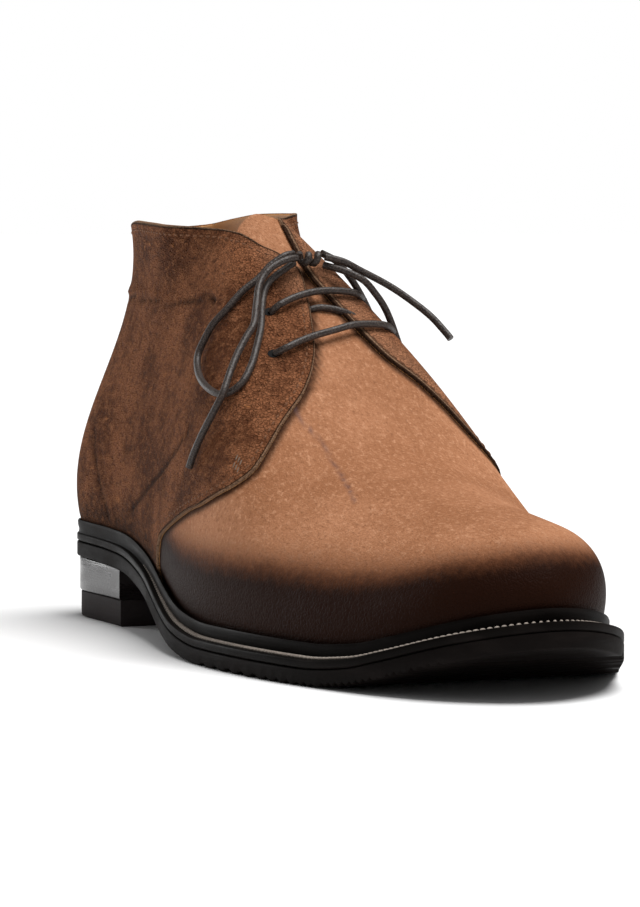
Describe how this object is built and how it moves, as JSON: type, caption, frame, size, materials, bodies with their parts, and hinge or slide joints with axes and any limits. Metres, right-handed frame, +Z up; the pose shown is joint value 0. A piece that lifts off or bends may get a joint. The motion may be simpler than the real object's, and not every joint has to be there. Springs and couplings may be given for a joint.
{
  "type": "chukka boot",
  "caption": "Low ankle boot in brown leather with open-laced quarters, a stitched welt, a rubber sole, a stacked heel and a tied lace, standing empty.",
  "frame": {"origin": "bottom centre of the bounding box of the shoe without its free lace, on the floor that it stands on", "axes": "+X from the heel to the toe, +Y to the wearer's medial side, +Z up"},
  "size_m": [0.3098, 0.1084, 0.1327],
  "materials": {
    "brown_leather": "matte waxed nubuck, mottled tan to dark brown",
    "tan_leather": "matte tan",
    "edge_dressing": "satin black edge dressing",
    "sole_rubber": "matte black",
    "waxed_lace": "waxed dark brown cord"
  },
  "bodies": {
    "root": {"heel_stack": "edge_dressing", "insole": "tan_leather", "lace_bar_1": "waxed_lace", "lace_bar_2": "waxed_lace", "lace_end_lateral": "waxed_lace", "lace_end_medial": "waxed_lace", "lace_knot": "waxed_lace", "lace_loop_lateral": "waxed_lace", "lace_loop_medial": "waxed_lace", "outsole": "sole_rubber", "tongue": "tan_leather", "top_lift": "sole_rubber", "upper": "brown_leather", "welt": "edge_dressing"}
  },
  "joints": []
}
